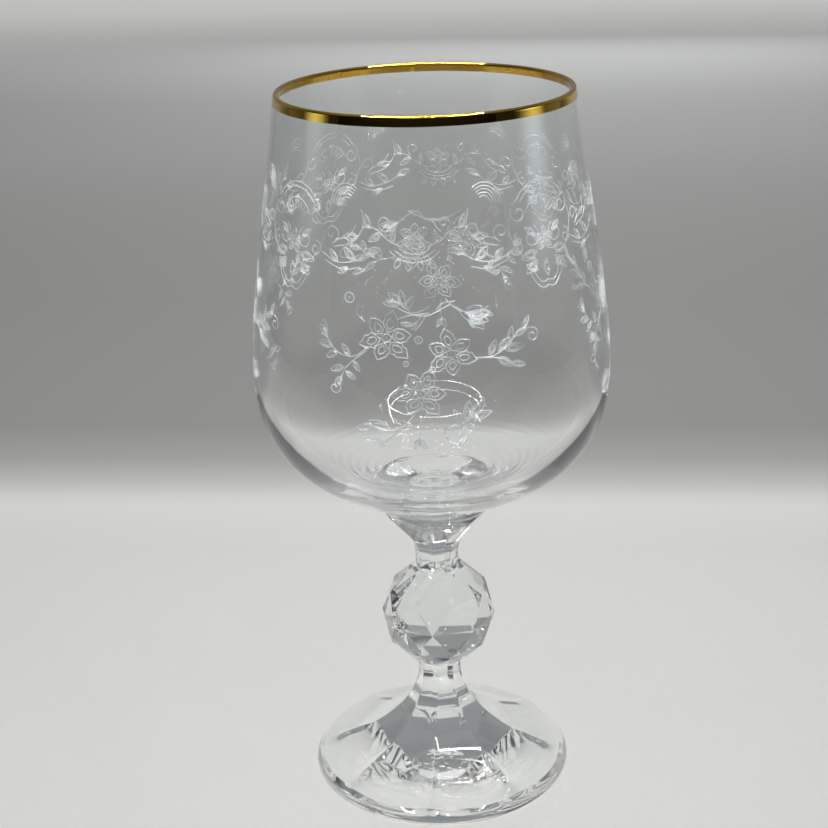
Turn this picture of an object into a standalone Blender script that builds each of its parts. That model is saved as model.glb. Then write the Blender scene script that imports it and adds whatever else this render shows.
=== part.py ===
"""Stemmed wine glass: cut eight-sided foot and stem, faceted knop, round bowl, gilded lip.

Metres, +Z up. The origin is the centre of the foot's underside, on the surface that the
glass stands on. The foot, the knop and the upper stem are cut with eight panels each, and
their ridges stand on the X and Y axes and halfway between them.
"""
import math

import bmesh
import bpy

# Driving dimensions, in metres -------------------------------------------------------------

GAP = 0.0003                    # clearance between two pieces that touch on the real glass
PANELS = 8                      # cut panels round the foot, the knop and the upper stem

FOOT_RADIUS = 0.0308            # outer edge of the foot
FOOT_EDGE_HEIGHT = 0.0014       # height of the widest line of the foot's rounded edge
FOOT_RIM_HEIGHT = 0.0029        # thickness of the foot where its rounded edge meets the ridges
FOOT_RIM_WIDTH = 0.0012         # how far in from the outer edge that happens
FOOT_REST_INSET = 0.0010        # how far in from the outer edge the foot first meets the table
FOOT_REST_WIDTH = 0.0045        # width of the flat ring that the glass stands on
FOOT_HOLLOW_DEPTH = 0.0010      # depth of the shallow hollow under the foot
FOOT_FLARE_HEIGHT = 0.0252      # height at which the neck starts to spread into the foot
FOOT_NECK_HEIGHT = 0.0028       # straight neck between that and the knop
FOOT_SPREAD_PAST = 0.0042       # how far past the edge the panels' curve would come down
FOOT_SPREAD_END = 0.0019        # height at which it would end there
FOOT_SPREAD_REACH = 0.0135      # length of the shallow run of that curve, towards the neck
FOOT_SPREAD_RISE = 0.0023       # and how far it climbs over that run
FOOT_SPREAD_DROP = 0.0129       # length of the steep run of that curve, under the neck

STEM_RADIUS = 0.0051            # ridge radius of the necks above and below the knop

KNOP_RADIUS = 0.0135            # sphere that every corner of the knop lies on
KNOP_END_RADIUS = 0.0065        # ridge radius of the knop's flat ends
KNOP_SHOULDER_ANGLE = 29.3      # latitude of the knop's upper and lower corners, in degrees

UPPER_NECK_HEIGHT = 0.0028      # straight stretch of the upper stem, above the knop
UPPER_FLARE_HEIGHT = 0.0141     # from there to the bowl, where the panels spread
UPPER_SPREAD_PAST = 0.0014      # how far past the collar the panels' curve would come out
COLLAR_HEIGHT = 0.0010          # round collar left above the panels, at their ridges
COLLAR_TAPER = 0.50             # radius the collar loses for each unit that it goes down

BOWL_BASE_RADIUS = 0.0131       # base of the bowl, and top of the collar that it meets
BOWL_BASE_SLOPE = 33.0          # slope of the bowl's outside there, in degrees
BOWL_RADIUS = 0.04005           # widest radius of the bowl
BOWL_LOWER_HEIGHT = 0.0331      # from the bowl's base to its widest line
BOWL_UPPER_HEIGHT = 0.06244     # from its widest line to its lip
LIP_RADIUS = 0.0323             # outer radius at the lip, with its gilding
LIP_TAPER = 0.1175              # inward lean of the wall at the lip, as a tangent
LIP_THICKNESS = 0.0012          # with its gilding
WALL = 0.0013                   # of the bowl at its widest line
BOWL_FLOOR = 0.0050             # glass between the bowl's base and its inside, on the axis

GILT_THICKNESS = 0.00012        # of the gilding
GILT_GAP = 0.00010              # between the gilding and the glass
GILT_HEIGHT = 0.0021            # of the gilding down the outside
GILT_INSIDE_HEIGHT = 0.0019     # and down the inside

CUT_MARGIN = 0.001              # how far a blank runs past the piece that is cut from it
ROUND_STEPS = 72                # facets round the bowl
FOOT_STEPS = 96                 # facets round the foot and the upper stem
CURVE_STEPS = 9                 # straight pieces along each curve of an outline

# Places that follow from them --------------------------------------------------------------

FOOT_HEIGHT = FOOT_FLARE_HEIGHT + FOOT_NECK_HEIGHT
KNOP_HALF_HEIGHT = math.sqrt(KNOP_RADIUS ** 2 - KNOP_END_RADIUS ** 2)
KNOP_CENTRE = FOOT_HEIGHT + GAP + KNOP_HALF_HEIGHT
UPPER_STEM_BASE = KNOP_CENTRE + KNOP_HALF_HEIGHT + GAP
UPPER_STEM_TOP = UPPER_STEM_BASE + UPPER_NECK_HEIGHT + UPPER_FLARE_HEIGHT
BOWL_BASE = UPPER_STEM_TOP + GAP
WIDEST_LINE = BOWL_BASE + BOWL_LOWER_HEIGHT
LIP_TOP = WIDEST_LINE + BOWL_UPPER_HEIGHT


# Outlines ----------------------------------------------------------------------------------

def bezier(start, near_start, near_end, end, steps=CURVE_STEPS):
    """Points of a cubic curve in the (radius, height) plane, with both of its ends."""
    points = []
    for i in range(steps + 1):
        t = i / steps
        weights = ((1 - t) ** 3, 3 * (1 - t) ** 2 * t, 3 * (1 - t) * t * t, t ** 3)
        controls = (start, near_start, near_end, end)
        points.append(tuple(sum(w * c[k] for w, c in zip(weights, controls)) for k in (0, 1)))
    return points


def direction(degrees):
    """Unit vector in the (radius, height) plane, outward and up by this angle."""
    return math.cos(math.radians(degrees)), math.sin(math.radians(degrees))


def bowl_outside():
    """Outside of the bowl from the lip down to its base: one curve to the widest line, one under it."""
    widest = (BOWL_RADIUS, WIDEST_LINE)
    lip_reach = 0.37 * BOWL_UPPER_HEIGHT
    out, up = direction(BOWL_BASE_SLOPE)
    base_reach = 0.52 * (BOWL_RADIUS - BOWL_BASE_RADIUS)
    upper = bezier((LIP_RADIUS, LIP_TOP),
                   (LIP_RADIUS + lip_reach * LIP_TAPER, LIP_TOP - lip_reach),
                   (BOWL_RADIUS, WIDEST_LINE + 0.27 * BOWL_UPPER_HEIGHT), widest)
    lower = bezier(widest, (BOWL_RADIUS, WIDEST_LINE - 0.68 * BOWL_LOWER_HEIGHT),
                   (BOWL_BASE_RADIUS + base_reach * out, BOWL_BASE + base_reach * up),
                   (BOWL_BASE_RADIUS, BOWL_BASE), CURVE_STEPS + 3)
    return upper, lower


def bowl_inside():
    """Inside of the bowl from its floor on the axis up to the lip, with the same two curves."""
    floor = BOWL_BASE + BOWL_FLOOR
    radius = BOWL_RADIUS - WALL
    lip = LIP_RADIUS - LIP_THICKNESS
    lip_reach = 0.37 * BOWL_UPPER_HEIGHT
    lower = bezier((0.0, floor), (0.62 * radius, floor),
                   (radius, WIDEST_LINE - 0.66 * (WIDEST_LINE - floor)), (radius, WIDEST_LINE),
                   CURVE_STEPS + 3)
    upper = bezier((radius, WIDEST_LINE), (radius, WIDEST_LINE + 0.27 * BOWL_UPPER_HEIGHT),
                   (lip + lip_reach * LIP_TAPER, LIP_TOP - lip_reach), (lip, LIP_TOP))
    return lower, upper


def wall_at(outline, height):
    """Radius of the wall at a height between its widest line and its lip."""
    for (r0, z0), (r1, z1) in zip(outline, outline[1:]):
        if min(z0, z1) <= height <= max(z0, z1):
            return r0 + (r1 - r0) * (height - z0) / (z1 - z0)
    raise ValueError("this height is not on the outline")


def under(outline, height):
    """The points of an outline that lie below a height."""
    return [point for point in outline if point[1] < height]


# Solids ------------------------------------------------------------------------------------

def clear_scene():
    for old in list(bpy.data.objects):
        bpy.data.objects.remove(old, do_unlink=True)


def finish(name, color, roughness, metallic=0.0):
    """A Principled material for one piece."""
    material = bpy.data.materials.new(name)
    material.use_nodes = True
    shader = material.node_tree.nodes["Principled BSDF"]
    shader.inputs["Base Color"].default_value = (*color, 1.0)
    shader.inputs["Roughness"].default_value = roughness
    shader.inputs["Metallic"].default_value = metallic
    shader.inputs["Transmission Weight"].default_value = 0.0 if metallic else 1.0
    shader.inputs["IOR"].default_value = 1.52
    return material


def add_object(name, mesh):
    obj = bpy.data.objects.new(name, mesh)
    bpy.context.scene.collection.objects.link(obj)
    return obj


def turned(name, outline, steps, closed=False):
    """A turned solid: an outline in the X-Z plane, swept round Z by a Screw modifier."""
    mesh = bpy.data.meshes.new(name)
    last = len(outline) - 1
    edges = [(i, i + 1) for i in range(last)]
    if closed:
        edges.append((last, 0))
    mesh.from_pydata([(r, 0.0, z) for r, z in outline], edges, [])
    obj = add_object(name, mesh)
    screw = obj.modifiers.new("turn", "SCREW")
    screw.steps = steps
    screw.render_steps = steps
    screw.use_merge_vertices = True
    screw.merge_threshold = 0.000001
    screw.use_smooth_shade = True
    return obj


def panelled(name, outline):
    """An eight-sided solid: one ring of corners for each point of its ridge line, bottom to top."""
    mesh = bpy.data.meshes.new(name)
    bm = bmesh.new()
    rings = []
    for radius, height in outline:
        ring = []
        for k in range(PANELS):
            angle = 2 * math.pi * k / PANELS
            ring.append(bm.verts.new((radius * math.cos(angle), radius * math.sin(angle), height)))
        rings.append(ring)
    for low, high in zip(rings, rings[1:]):
        for k in range(PANELS):
            n = (k + 1) % PANELS
            bm.faces.new((low[k], low[n], high[n], high[k]))
    bm.faces.new(reversed(rings[0]))
    bm.faces.new(rings[-1])
    bm.to_mesh(mesh)
    bm.free()
    return add_object(name, mesh)


def keep_inside(obj, envelope):
    """Cuts a piece back to a round blank, which stays in the file as a hidden guide."""
    envelope.hide_render = True
    envelope.display_type = "WIRE"
    cut = obj.modifiers.new("round_blank", "BOOLEAN")
    cut.operation = "INTERSECT"
    cut.solver = "EXACT"
    cut.object = envelope


# The five pieces ---------------------------------------------------------------------------

def make_foot():
    """Round foot with its neck: eight hollow-ground panels cut into a round pressed blank."""
    past = FOOT_RADIUS + FOOT_SPREAD_PAST
    spread = bezier((past, FOOT_SPREAD_END),
                    (past - FOOT_SPREAD_REACH, FOOT_SPREAD_END + FOOT_SPREAD_RISE),
                    (1.06 * STEM_RADIUS, FOOT_FLARE_HEIGHT - FOOT_SPREAD_DROP),
                    (STEM_RADIUS, FOOT_FLARE_HEIGHT), 14)
    foot = panelled("foot", [(past, -CUT_MARGIN)] + spread + [(STEM_RADIUS, FOOT_HEIGHT)])
    rim_radius = FOOT_RADIUS - FOOT_RIM_WIDTH
    rest = FOOT_RADIUS - FOOT_REST_INSET
    hollow = rest - FOOT_REST_WIDTH
    above = FOOT_HEIGHT + CUT_MARGIN
    shoulder = [(0.0, above), (2 * STEM_RADIUS, above), (2.4 * STEM_RADIUS, 0.55 * FOOT_HEIGHT)]
    edge_rise = FOOT_RIM_HEIGHT - FOOT_EDGE_HEIGHT
    top_edge = bezier((rim_radius, FOOT_RIM_HEIGHT),
                      (rim_radius + 0.5 * FOOT_RIM_WIDTH, FOOT_RIM_HEIGHT - 0.2 * edge_rise),
                      (FOOT_RADIUS, FOOT_EDGE_HEIGHT + 0.5 * edge_rise),
                      (FOOT_RADIUS, FOOT_EDGE_HEIGHT), 5)
    low_edge = bezier((FOOT_RADIUS, FOOT_EDGE_HEIGHT), (FOOT_RADIUS, 0.4 * FOOT_EDGE_HEIGHT),
                      (FOOT_RADIUS - 0.4 * FOOT_REST_INSET, 0.0), (rest, 0.0), 4)
    underside = bezier((hollow, 0.0), (0.6 * hollow, FOOT_HOLLOW_DEPTH),
                       (0.3 * hollow, FOOT_HOLLOW_DEPTH), (0.0, FOOT_HOLLOW_DEPTH), 5)
    blank = turned("foot_blank", shoulder + top_edge + low_edge[1:] + underside, FOOT_STEPS)
    keep_inside(foot, blank)
    return foot


def make_knop():
    """Ball cut into triangles: five rings of corners on one sphere, each turned half a panel."""
    bm = bmesh.new()
    end = math.degrees(math.acos(KNOP_END_RADIUS / KNOP_RADIUS))
    for step, latitude in enumerate((-end, -KNOP_SHOULDER_ANGLE, 0.0, KNOP_SHOULDER_ANGLE, end)):
        across, up = direction(latitude)
        for k in range(PANELS):
            angle = 2 * math.pi * (k + 0.5 * (step % 2)) / PANELS
            radius = KNOP_RADIUS * across
            bm.verts.new((radius * math.cos(angle), radius * math.sin(angle),
                          KNOP_CENTRE + KNOP_RADIUS * up))
    bmesh.ops.convex_hull(bm, input=bm.verts)
    mesh = bpy.data.meshes.new("knop")
    bm.to_mesh(mesh)
    bm.free()
    return add_object("knop", mesh)


def make_upper_stem():
    """Neck above the knop, whose eight panels spread and run out on a round collar under the bowl."""
    neck = UPPER_STEM_BASE + UPPER_NECK_HEIGHT
    top = UPPER_STEM_TOP
    collar_low = BOWL_BASE_RADIUS - COLLAR_TAPER * COLLAR_HEIGHT
    past = BOWL_BASE_RADIUS + UPPER_SPREAD_PAST
    spread = bezier((STEM_RADIUS, neck), (STEM_RADIUS, neck + 0.31 * UPPER_FLARE_HEIGHT),
                    (0.70 * STEM_RADIUS + 0.243 * past, neck + 0.42 * UPPER_FLARE_HEIGHT),
                    (past, top), 10)
    stem = panelled("upper_stem", [(STEM_RADIUS, UPPER_STEM_BASE)] + spread)
    below = UPPER_STEM_BASE - CUT_MARGIN
    above = top + CUT_MARGIN
    blank = turned("upper_stem_blank",
                   [(0.0, above), (BOWL_BASE_RADIUS, above), (BOWL_BASE_RADIUS, top),
                    (collar_low, top - COLLAR_HEIGHT), (collar_low, below), (0.0, below)], FOOT_STEPS)
    keep_inside(stem, blank)
    return stem


def make_bowl():
    """Thin blown bowl, open at the top, with a thick floor and a lip stepped back for its gilding."""
    outer_up, outer_low = bowl_outside()
    inner_low, inner_up = bowl_inside()
    inset = GILT_THICKNESS + GILT_GAP
    gilt_out = LIP_TOP - GILT_HEIGHT - GILT_GAP
    gilt_in = LIP_TOP - GILT_INSIDE_HEIGHT - GILT_GAP
    half = 0.5 * LIP_THICKNESS - inset
    centre = LIP_RADIUS - 0.5 * LIP_THICKNESS
    crown = LIP_TOP - inset
    wall_in = wall_at(inner_up, gilt_in)
    wall_out = wall_at(outer_up, gilt_out)
    outline = inner_low + under(inner_up[1:], gilt_in)
    outline += [(wall_in, gilt_in), (wall_in + inset, gilt_in)]
    outline += [(centre - half, crown - half), (centre, crown), (centre + half, crown - half)]
    outline += [(wall_out - inset, gilt_out), (wall_out, gilt_out)]
    outline += under(outer_up, gilt_out) + outer_low[1:] + [(0.0, BOWL_BASE)]
    return turned("bowl", outline, ROUND_STEPS)


def make_gold_rim():
    """Fired gilding that wraps over the lip, down the outside and the inside."""
    low_out = LIP_TOP - GILT_HEIGHT
    low_in = LIP_TOP - GILT_INSIDE_HEIGHT
    wall_out = wall_at(bowl_outside()[0], low_out)
    wall_in = wall_at(bowl_inside()[1], low_in)
    half = 0.5 * LIP_THICKNESS
    centre = LIP_RADIUS - half
    skin = GILT_THICKNESS
    outer_face = [(wall_in, low_in), (centre - half, LIP_TOP - half), (centre, LIP_TOP),
                  (centre + half, LIP_TOP - half), (wall_out, low_out)]
    inner_face = [(wall_out - skin, low_out), (centre + half - skin, LIP_TOP - half),
                  (centre, LIP_TOP - skin), (centre - half + skin, LIP_TOP - half),
                  (wall_in + skin, low_in)]
    return turned("gold_rim", outer_face + inner_face, ROUND_STEPS, closed=True)


clear_scene()
clear = (0.93, 0.96, 0.97)
for build, color, roughness, metallic in (
        (make_foot, clear, 0.02, 0.0),
        (make_knop, clear, 0.02, 0.0),
        (make_upper_stem, clear, 0.02, 0.0),
        (make_bowl, clear, 0.02, 0.0),
        (make_gold_rim, (0.83, 0.60, 0.22), 0.20, 1.0)):
    piece = build()
    piece.data.materials.append(finish(piece.name, color, roughness, metallic))
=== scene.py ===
"""Stemmed wine glass: the looks of every piece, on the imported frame. Metres, +Z up."""
import math

import bmesh
import bpy
import numpy as np
from mathutils import Matrix, Vector


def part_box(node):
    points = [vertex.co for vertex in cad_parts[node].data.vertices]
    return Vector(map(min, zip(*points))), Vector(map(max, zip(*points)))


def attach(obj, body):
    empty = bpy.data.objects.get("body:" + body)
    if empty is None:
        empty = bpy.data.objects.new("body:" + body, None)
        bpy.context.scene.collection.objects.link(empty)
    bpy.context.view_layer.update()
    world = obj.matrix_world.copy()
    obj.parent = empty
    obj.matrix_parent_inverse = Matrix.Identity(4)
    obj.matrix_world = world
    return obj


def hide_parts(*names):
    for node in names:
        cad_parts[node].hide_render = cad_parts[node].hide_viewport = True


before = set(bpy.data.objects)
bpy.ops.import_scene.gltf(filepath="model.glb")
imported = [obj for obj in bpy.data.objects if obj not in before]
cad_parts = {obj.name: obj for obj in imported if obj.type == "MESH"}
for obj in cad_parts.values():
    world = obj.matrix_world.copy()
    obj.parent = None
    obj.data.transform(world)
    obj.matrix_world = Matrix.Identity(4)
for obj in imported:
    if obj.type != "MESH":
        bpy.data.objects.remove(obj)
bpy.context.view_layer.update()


# ---- Foot ----------------------------------------------------------------------------------
# Pressed crystal, fused under the stem while hot. A round disc with a rounded edge, into which
# eight hollow panels are ground. Their ridges run down the neck and die out at the edge.

MM = 0.001
foot_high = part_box("foot")[1]
FOOT_RADIUS = foot_high[0]
FOOT_TOP = foot_high[2]
KNOP_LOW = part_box("knop")[0][2]
STEM_RADIUS = 5.1 * MM
FLARE_HEIGHT = FOOT_TOP - 2.8 * MM
FLARE_PAST = FOOT_RADIUS + 4.2 * MM
FLARE_LOW = 1.9 * MM
FLARE_REACH = 13.5 * MM
FLARE_TURN = 4.2 * MM
FLARE_DROP = 12.9 * MM
NECK_EASE = 0.3 * MM
NECK_SHARES = (0.33, 0.66, 1.0)
FINE_STEPS = 400
EDGE_HEIGHT = 1.4 * MM
EDGE_RISE = 0.7 * MM
RIM_HEIGHT = 2.9 * MM
RIM_OUT = 0.6 * MM
RIM_DROP = 0.3 * MM
RIM_RADIUS = FOOT_RADIUS - 1.2 * MM
REST_RADIUS = FOOT_RADIUS - 1.0 * MM
HOLLOW_RADIUS = REST_RADIUS - 4.5 * MM
HOLLOW_DEPTH = 1.0 * MM
PANELS = 8
PANEL = 2 * math.pi / PANELS
PANEL_STEPS = 16
RIDGE_CROWDING = 1.55
RIDGE_SOFTNESS = 90.0
RIDGE_RISE = 0.44 * MM
RIDGE_WIDTH = 0.7 * MM
RIDGE_SPREAD = 2.9 * MM
RIDGE_STARTS = (16.0 * MM, 21.0 * MM)
RIDGE_SPREADS = (22.5 * MM, 28.5 * MM)
RIDGE_FADE = 1.1 * MM
LIP_RISE = 0.26 * MM
LIP_INSET = 0.8 * MM
LIP_WIDTH = 0.5 * MM
SMOOTH_UNDER = math.radians(24)
CRYSTAL_IOR = 1.54
CRYSTAL_TINT = (0.965, 0.985, 0.985)
TINT_DRIFT = 0.012


def sector_angles():
    """Directions round the axis: close together at each ridge, wider apart across the panels."""
    half = [PANEL / 2 * (step / PANEL_STEPS) ** RIDGE_CROWDING for step in range(PANEL_STEPS)]
    sector = half + [PANEL / 2] + [PANEL - a for a in reversed(half[1:])]
    return np.array([k * PANEL + a for k in range(PANELS) for a in sector])


ANGLES = sector_angles()


def panel_share(angles, softness=RIDGE_SOFTNESS):
    """Radius of an eight-sided section in each direction, as a share of its sharp ridge radius."""
    total = np.zeros_like(angles)
    for k in range(PANELS):
        facing = np.cos(angles - (k + 0.5) * PANEL)
        total += np.where(facing > 0, np.abs(facing), 0.0) ** softness
    return math.cos(PANEL / 2) / total ** (1.0 / softness)


def bezier(p0, p1, p2, p3, steps):
    t = np.linspace(0.0, 1.0, steps + 1)[:, None]
    p0, p1, p2, p3 = (np.array(p, dtype=float) for p in (p0, p1, p2, p3))
    return (1 - t) ** 3 * p0 + 3 * (1 - t) ** 2 * t * p1 + 3 * (1 - t) * t * t * p2 + t ** 3 * p3


def made(bm, name):
    """The finished mesh as an object."""
    mesh = bpy.data.meshes.new(name)
    bm.to_mesh(mesh)
    bm.free()
    obj = bpy.data.objects.new(name, mesh)
    bpy.context.scene.collection.objects.link(obj)
    return obj


def lofted(name, outlines, low_cap=None, high_cap=None):
    """A solid from one outline per direction, all with the same number of (radius, height) points.
    Each outline runs from its low end up its outer side, and the caps are points on the axis.
    Without caps, each outline closes on itself."""
    bm = bmesh.new()
    columns = []
    for angle, outline in zip(ANGLES, outlines):
        c, s = math.cos(angle), math.sin(angle)
        columns.append([bm.verts.new((r * c, r * s, z)) for r, z in outline])
    count, rows = len(columns), len(columns[0])
    capped = low_cap is not None
    for a, b in zip(columns, columns[1:] + columns[:1]):
        for i in range(rows - 1 if capped else rows):
            n = (i + 1) % rows
            bm.faces.new((a[i], b[i], b[n], a[n]))
    if capped:
        low_pole = bm.verts.new((0.0, 0.0, low_cap))
        high_pole = bm.verts.new((0.0, 0.0, high_cap))
        for k in range(count):
            n = (k + 1) % count
            bm.faces.new((columns[n][0], columns[k][0], low_pole))
            bm.faces.new((columns[k][-1], columns[n][-1], high_pole))
    bmesh.ops.recalc_face_normals(bm, faces=bm.faces)
    return made(bm, name)


def crossing(upper, lower):
    """Where two (radius, height) curves with falling heights cross, the upper one nearest the axis."""
    radii = np.linspace(max(upper[:, 0].min(), lower[:, 0].min()),
                        min(upper[:, 0].max(), lower[:, 0].max()), 1200)
    up = np.interp(radii, *upper[np.argsort(upper[:, 0])].T)
    low = np.interp(radii, *lower[np.argsort(lower[:, 0])].T)
    inside = np.nonzero(up > low)[0]
    at = inside[0] if len(inside) else len(radii) - 1
    return radii[at], min(up[at], low[at])


def resampled(points, count, ends=1.0):
    """The same curve with evenly spaced points, drawn towards both ends when ends is over 1."""
    steps = np.hypot(*np.diff(points, axis=0).T)
    along = np.concatenate([[0.0], np.cumsum(steps)])
    even = np.linspace(-1.0, 1.0, count)
    crowded = np.sign(even) * (1 - (1 - np.abs(even)) ** ends)
    at = (crowded + 1) / 2 * along[-1]
    return np.stack([np.interp(at, along, points[:, k]) for k in (0, 1)], 1)


def eased(value, low, high):
    t = np.clip((value - low) / (high - low), 0, 1)
    return t * t * (3 - 2 * t)


def left_proud(radius, angle):
    """How far the uncut glass stands up: a strip along each ridge that widens outwards, and a lip."""
    away = radius * abs((angle + PANEL / 2) % PANEL - PANEL / 2)
    width = RIDGE_WIDTH + RIDGE_SPREAD * eased(radius, *RIDGE_SPREADS)
    reach = eased(radius, *RIDGE_STARTS) * eased(RIM_RADIUS - radius, 0, RIDGE_FADE)
    lip = LIP_RISE * np.exp(-((radius - RIM_RADIUS + LIP_INSET) / LIP_WIDTH) ** 2)
    return RIDGE_RISE * reach * np.exp(-(away / width) ** 2) + lip


def foot_outlines(weld_height):
    flare = bezier((FLARE_PAST, FLARE_LOW), (FLARE_PAST - FLARE_REACH, FLARE_TURN),
                   (STEM_RADIUS + NECK_EASE, FLARE_HEIGHT - FLARE_DROP),
                   (STEM_RADIUS, FLARE_HEIGHT), FINE_STEPS)
    rim = bezier((RIM_RADIUS, RIM_HEIGHT), (RIM_RADIUS + RIM_OUT, RIM_HEIGHT - RIM_DROP),
                 (FOOT_RADIUS, EDGE_HEIGHT + EDGE_RISE), (FOOT_RADIUS, EDGE_HEIGHT), 60)
    inward = np.array([[RIM_RADIUS - 4 * MM, RIM_HEIGHT + 2.6 * MM]])
    blank = np.concatenate([inward, rim])
    low = bezier((REST_RADIUS, 0), (FOOT_RADIUS - 0.4 * MM, 0), (FOOT_RADIUS, 0.5 * MM),
                 (FOOT_RADIUS, EDGE_HEIGHT), 10)
    hollow = bezier((0.5 * MM, HOLLOW_DEPTH), (0.3 * HOLLOW_RADIUS, HOLLOW_DEPTH),
                    (0.6 * HOLLOW_RADIUS, HOLLOW_DEPTH), (HOLLOW_RADIUS, 0), 14)
    under = np.concatenate([hollow, low])
    outlines = []
    for angle, share in zip(ANGLES, panel_share(ANGLES)):
        panel = flare * (share, 1.0)
        r, z = crossing(blank, panel)
        edge = np.concatenate([[(r, z)], rim[rim[:, 0] > r]])
        slope = np.concatenate([[(r, z)], panel[panel[:, 0] < r]])
        neck = np.array([[STEM_RADIUS * share, FLARE_HEIGHT + f * (weld_height - FLARE_HEIGHT)]
                         for f in NECK_SHARES])
        outline = np.concatenate([under[:-1], resampled(edge[::-1], 10, 1.3)[:-1],
                                  resampled(slope, 90, 1.4), neck])
        top = slice(len(under) - 1, None)
        outline[top, 1] += left_proud(outline[top, 0], angle)
        outlines.append(outline)
    return outlines


def node_material(name):
    material = bpy.data.materials.new(name)
    material.use_nodes = True
    nodes = material.node_tree.nodes
    nodes.clear()
    return material, nodes, material.node_tree.links


def node_with(nodes, kind, given):
    node = nodes.new(kind)
    for name, value in given.items():
        node.inputs[name].default_value = value
    return node


def surface(name, given):
    """A material with one surface: returns it with its nodes, its links and that surface."""
    material, nodes, links = node_material(name)
    out = nodes.new("ShaderNodeOutputMaterial")
    skin = node_with(nodes, "ShaderNodeBsdfPrincipled", given)
    links.new(skin.outputs["BSDF"], out.inputs["Surface"])
    return material, nodes, links, skin


def noise(nodes, links, scale, detail):
    """Noise that sits still on the piece."""
    where = nodes.new("ShaderNodeTexCoord")
    pattern = node_with(nodes, "ShaderNodeTexNoise", {"Scale": scale, "Detail": detail})
    links.new(where.outputs["Object"], pattern.inputs["Vector"])
    return pattern.outputs["Fac"]


def graded(nodes, links, amount, dark, light, start=0.0, end=1.0):
    """A colour that goes from dark to light as the amount goes from start to end."""
    ramp = nodes.new("ShaderNodeValToRGB")
    for stop, place, colour in zip(ramp.color_ramp.elements, (start, end), (dark, light)):
        stop.position = place
        stop.color = (*colour, 1.0)
    links.new(amount, ramp.inputs["Fac"])
    return ramp.outputs["Color"]


def ranged(nodes, links, amount, low, high, start=0.0, end=1.0, way="LINEAR"):
    """A number that goes from low to high as the amount goes from start to end."""
    node = node_with(nodes, "ShaderNodeMapRange", {"From Min": start, "From Max": end,
                                                   "To Min": low, "To Max": high})
    node.interpolation_type = way
    links.new(amount, node.inputs["Value"])
    return node.outputs["Result"]


def maths(nodes, links, kind, *values):
    node = nodes.new("ShaderNodeMath")
    node.operation = kind
    for socket, value in zip(node.inputs, values):
        if isinstance(value, (int, float)):
            socket.default_value = value
        else:
            links.new(value, socket)
    return node.outputs["Value"]


def raised(nodes, links, height, distance, strength=1.0):
    """A bump node for the given height."""
    bump = node_with(nodes, "ShaderNodeBump", {"Strength": strength, "Distance": distance})
    links.new(height, bump.inputs["Height"])
    return bump


def crystal(name, tint, wave, wave_size, haze):
    """Clear crystal: a faint cool tint that drifts, a skin that is not quite flat, and a trace of haze."""
    material, nodes, links, glass = surface(name, {"Transmission Weight": 1.0, "IOR": CRYSTAL_IOR})
    dull = [c - TINT_DRIFT for c in tint]
    colour = graded(nodes, links, noise(nodes, links, 60.0, 3.0), dull, tint, 0.3, 0.7)
    links.new(colour, glass.inputs["Base Color"])
    smear = ranged(nodes, links, noise(nodes, links, 180.0, 5.0), 0.0, haze, 0.55, 0.80)
    links.new(smear, glass.inputs["Roughness"])
    waves = raised(nodes, links, noise(nodes, links, wave_size, 1.0), wave)
    waves.name = "Waves"
    links.new(waves.outputs["Normal"], glass.inputs["Normal"])
    return material


def more_waves(material, pattern, depth, centre, radius, height):
    """Deeper waves, in the given pattern, that fade out past a radius and a height."""
    nodes, links = material.node_tree.nodes, material.node_tree.links
    where = nodes.new("ShaderNodeTexCoord")
    links.new(where.outputs["Object"], pattern.inputs["Vector"])
    parts = nodes.new("ShaderNodeSeparateXYZ")
    links.new(where.outputs["Object"], parts.inputs["Vector"])
    flat = nodes.new("ShaderNodeCombineXYZ")
    links.new(parts.outputs["X"], flat.inputs["X"])
    links.new(parts.outputs["Y"], flat.inputs["Y"])
    reach = nodes.new("ShaderNodeVectorMath")
    reach.operation = "DISTANCE"
    reach.inputs[1].default_value = (*centre, 0.0)
    links.new(flat.outputs["Vector"], reach.inputs[0])
    amount = pattern.outputs["Fac"]
    for value, (full, none) in ((reach.outputs["Value"], radius), (parts.outputs["Z"], height)):
        fade = ranged(nodes, links, value, 0.0, 1.0, none, full, "SMOOTHSTEP")
        amount = maths(nodes, links, "MULTIPLY", amount, fade)
    deeper = raised(nodes, links, amount, depth)
    links.new(deeper.outputs["Normal"], nodes["Waves"].inputs["Normal"])


def weld_seen_through(name):
    """The fused joint between two pieces, where light goes straight on from one into the other."""
    material, nodes, links = node_material(name)
    out = nodes.new("ShaderNodeOutputMaterial")
    clear = nodes.new("ShaderNodeBsdfTransparent")
    links.new(clear.outputs["BSDF"], out.inputs["Surface"])
    return material


cut_crystal = crystal("cut_crystal", CRYSTAL_TINT, 0.02 * MM, 90.0, 0.03)
fused_joint = weld_seen_through("fused_joint")
foot_crystal = crystal("foot_crystal", CRYSTAL_TINT, 0.02 * MM, 90.0, 0.03)
crumple = node_with(foot_crystal.node_tree.nodes, "ShaderNodeTexNoise", {"Scale": 230.0, "Detail": 2.0})
more_waves(foot_crystal, crumple, 1.2 * MM, (1.0 * MM, -9.0 * MM), (3.0 * MM, 6.5 * MM),
           (2.2 * MM, 3.0 * MM))


def give_materials(obj, main, welds=()):
    """The piece's glass, and the see-through joint on faces that lie flat at a weld's height."""
    obj.data.materials.append(main)
    if welds:
        obj.data.materials.append(fused_joint)
    for face in obj.data.polygons:
        for height in welds:
            if all(abs(obj.data.vertices[v].co.z - height) < 1e-7 for v in face.vertices):
                face.material_index = 1


def hand_over(obj, node):
    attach(obj, "root")
    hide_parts(node)


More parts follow.
